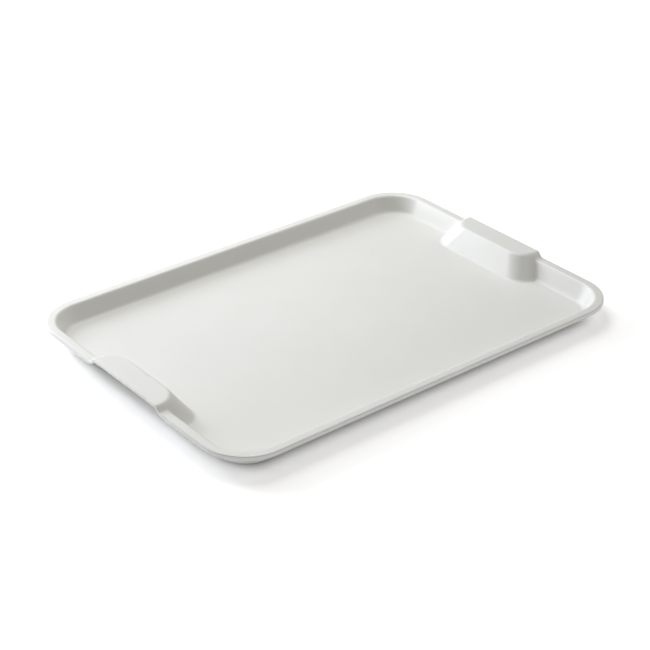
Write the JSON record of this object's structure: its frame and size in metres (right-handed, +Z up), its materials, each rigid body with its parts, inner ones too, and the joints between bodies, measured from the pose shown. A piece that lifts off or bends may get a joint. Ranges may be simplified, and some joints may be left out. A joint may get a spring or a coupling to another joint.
{
  "type": "serving tray",
  "caption": "Flat rectangular moulded serving tray with rounded corners, shallow sloped walls, a narrow rim, raised hollow hand grips at the short ends and small anti-slip feet.",
  "frame": {"origin": "centre of the footprint, on the surface that the tray stands on", "axes": "+X along the tray's length through both grips, towards the right grip; +Y across it, towards the rear long side; +Z up, out of the tray's open side"},
  "size_m": [0.45, 0.32, 0.025],
  "materials": {
    "shell": "off-white moulded plastic, satin, very finely textured",
    "feet": "soft grey anti-slip rubber, matt"
  },
  "bodies": {
    "root": {"tray_shell": "shell", "foot_front_left": "feet", "foot_front_right": "feet", "foot_rear_left": "feet", "foot_rear_right": "feet"}
  },
  "joints": []
}
